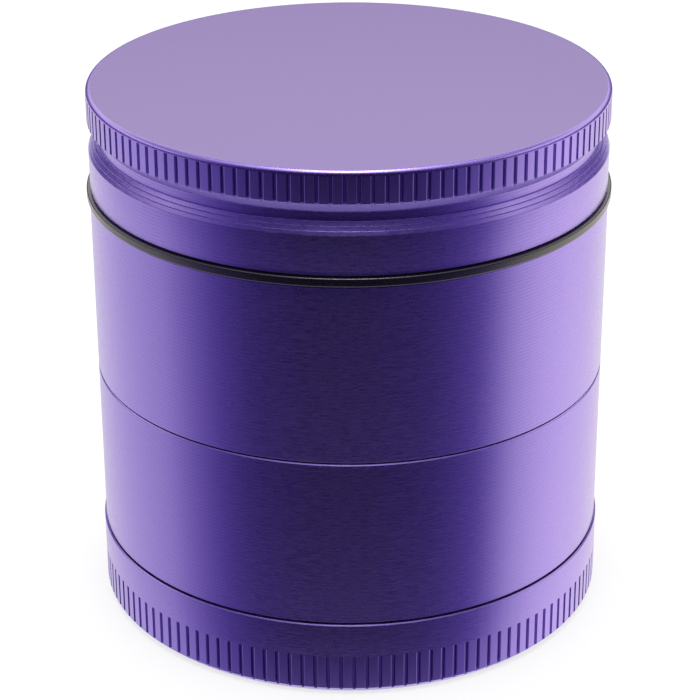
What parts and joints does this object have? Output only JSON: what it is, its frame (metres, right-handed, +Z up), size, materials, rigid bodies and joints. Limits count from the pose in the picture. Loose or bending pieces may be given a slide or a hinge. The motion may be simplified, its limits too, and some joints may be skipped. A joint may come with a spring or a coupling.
{
  "type": "herb grinder",
  "caption": "Round hand-held herb grinder in stacked parts: toothed lid on a glide ring, toothed grinding chamber, collection chamber with sifting screen, and pollen tray.",
  "frame": {"origin": "centre of the pollen tray's underside, on the surface that the grinder stands on", "axes": "+Z up along the axis that every part turns about; -Y is the side that faces the camera in the picture"},
  "size_m": [0.0708, 0.0708, 0.074],
  "materials": {
    "anodised_lid": "purple anodised, turned walls and a matte top",
    "anodised_body": "purple anodised, fine turned rings",
    "black_polymer": "semi-gloss black",
    "nickel": "bright nickel plate",
    "woven_steel": "fine woven wire",
    "spring_steel": "ground spring steel"
  },
  "bodies": {
    "tray": {"pollen_tray": "anodised_body"},
    "screen": {"sifting_screen": "woven_steel"},
    "collector": {"collection_chamber": "anodised_body", "screen_snap_ring": "spring_steel"},
    "chamber_core": {"chamber_magnet": "nickel"},
    "chamber": {"grinding_chamber": "anodised_body"},
    "ring": {"glide_ring": "black_polymer"},
    "lid": {"lid": "anodised_lid", "lid_magnet": "nickel"}
  },
  "joints": [
    {"name": "collector_lift", "type": "slide", "parent": "tray", "child": "screen", "axis": [0, 0, 1], "range_m": [0, 0.025]},
    {"name": "collector_unscrew", "type": "hinge", "parent": "screen", "child": "collector", "pos_m": [0, 0, 0.0107], "axis": [0, 0, 1], "range_deg": [0, 720]},
    {"name": "chamber_lift", "type": "slide", "parent": "collector", "child": "chamber_core", "axis": [0, 0, 1], "range_m": [0, 0.025]},
    {"name": "chamber_unscrew", "type": "hinge", "parent": "chamber_core", "child": "chamber", "pos_m": [0, 0, 0.0343], "axis": [0, 0, 1], "range_deg": [0, 1080]},
    {"name": "lid_lift", "type": "slide", "parent": "chamber", "child": "ring", "axis": [0, 0, 1], "range_m": [0, 0.04]},
    {"name": "lid_spin", "type": "hinge", "parent": "ring", "child": "lid", "pos_m": [0, 0, 0.0602], "axis": [0, 0, 1], "continuous": true}
  ]
}
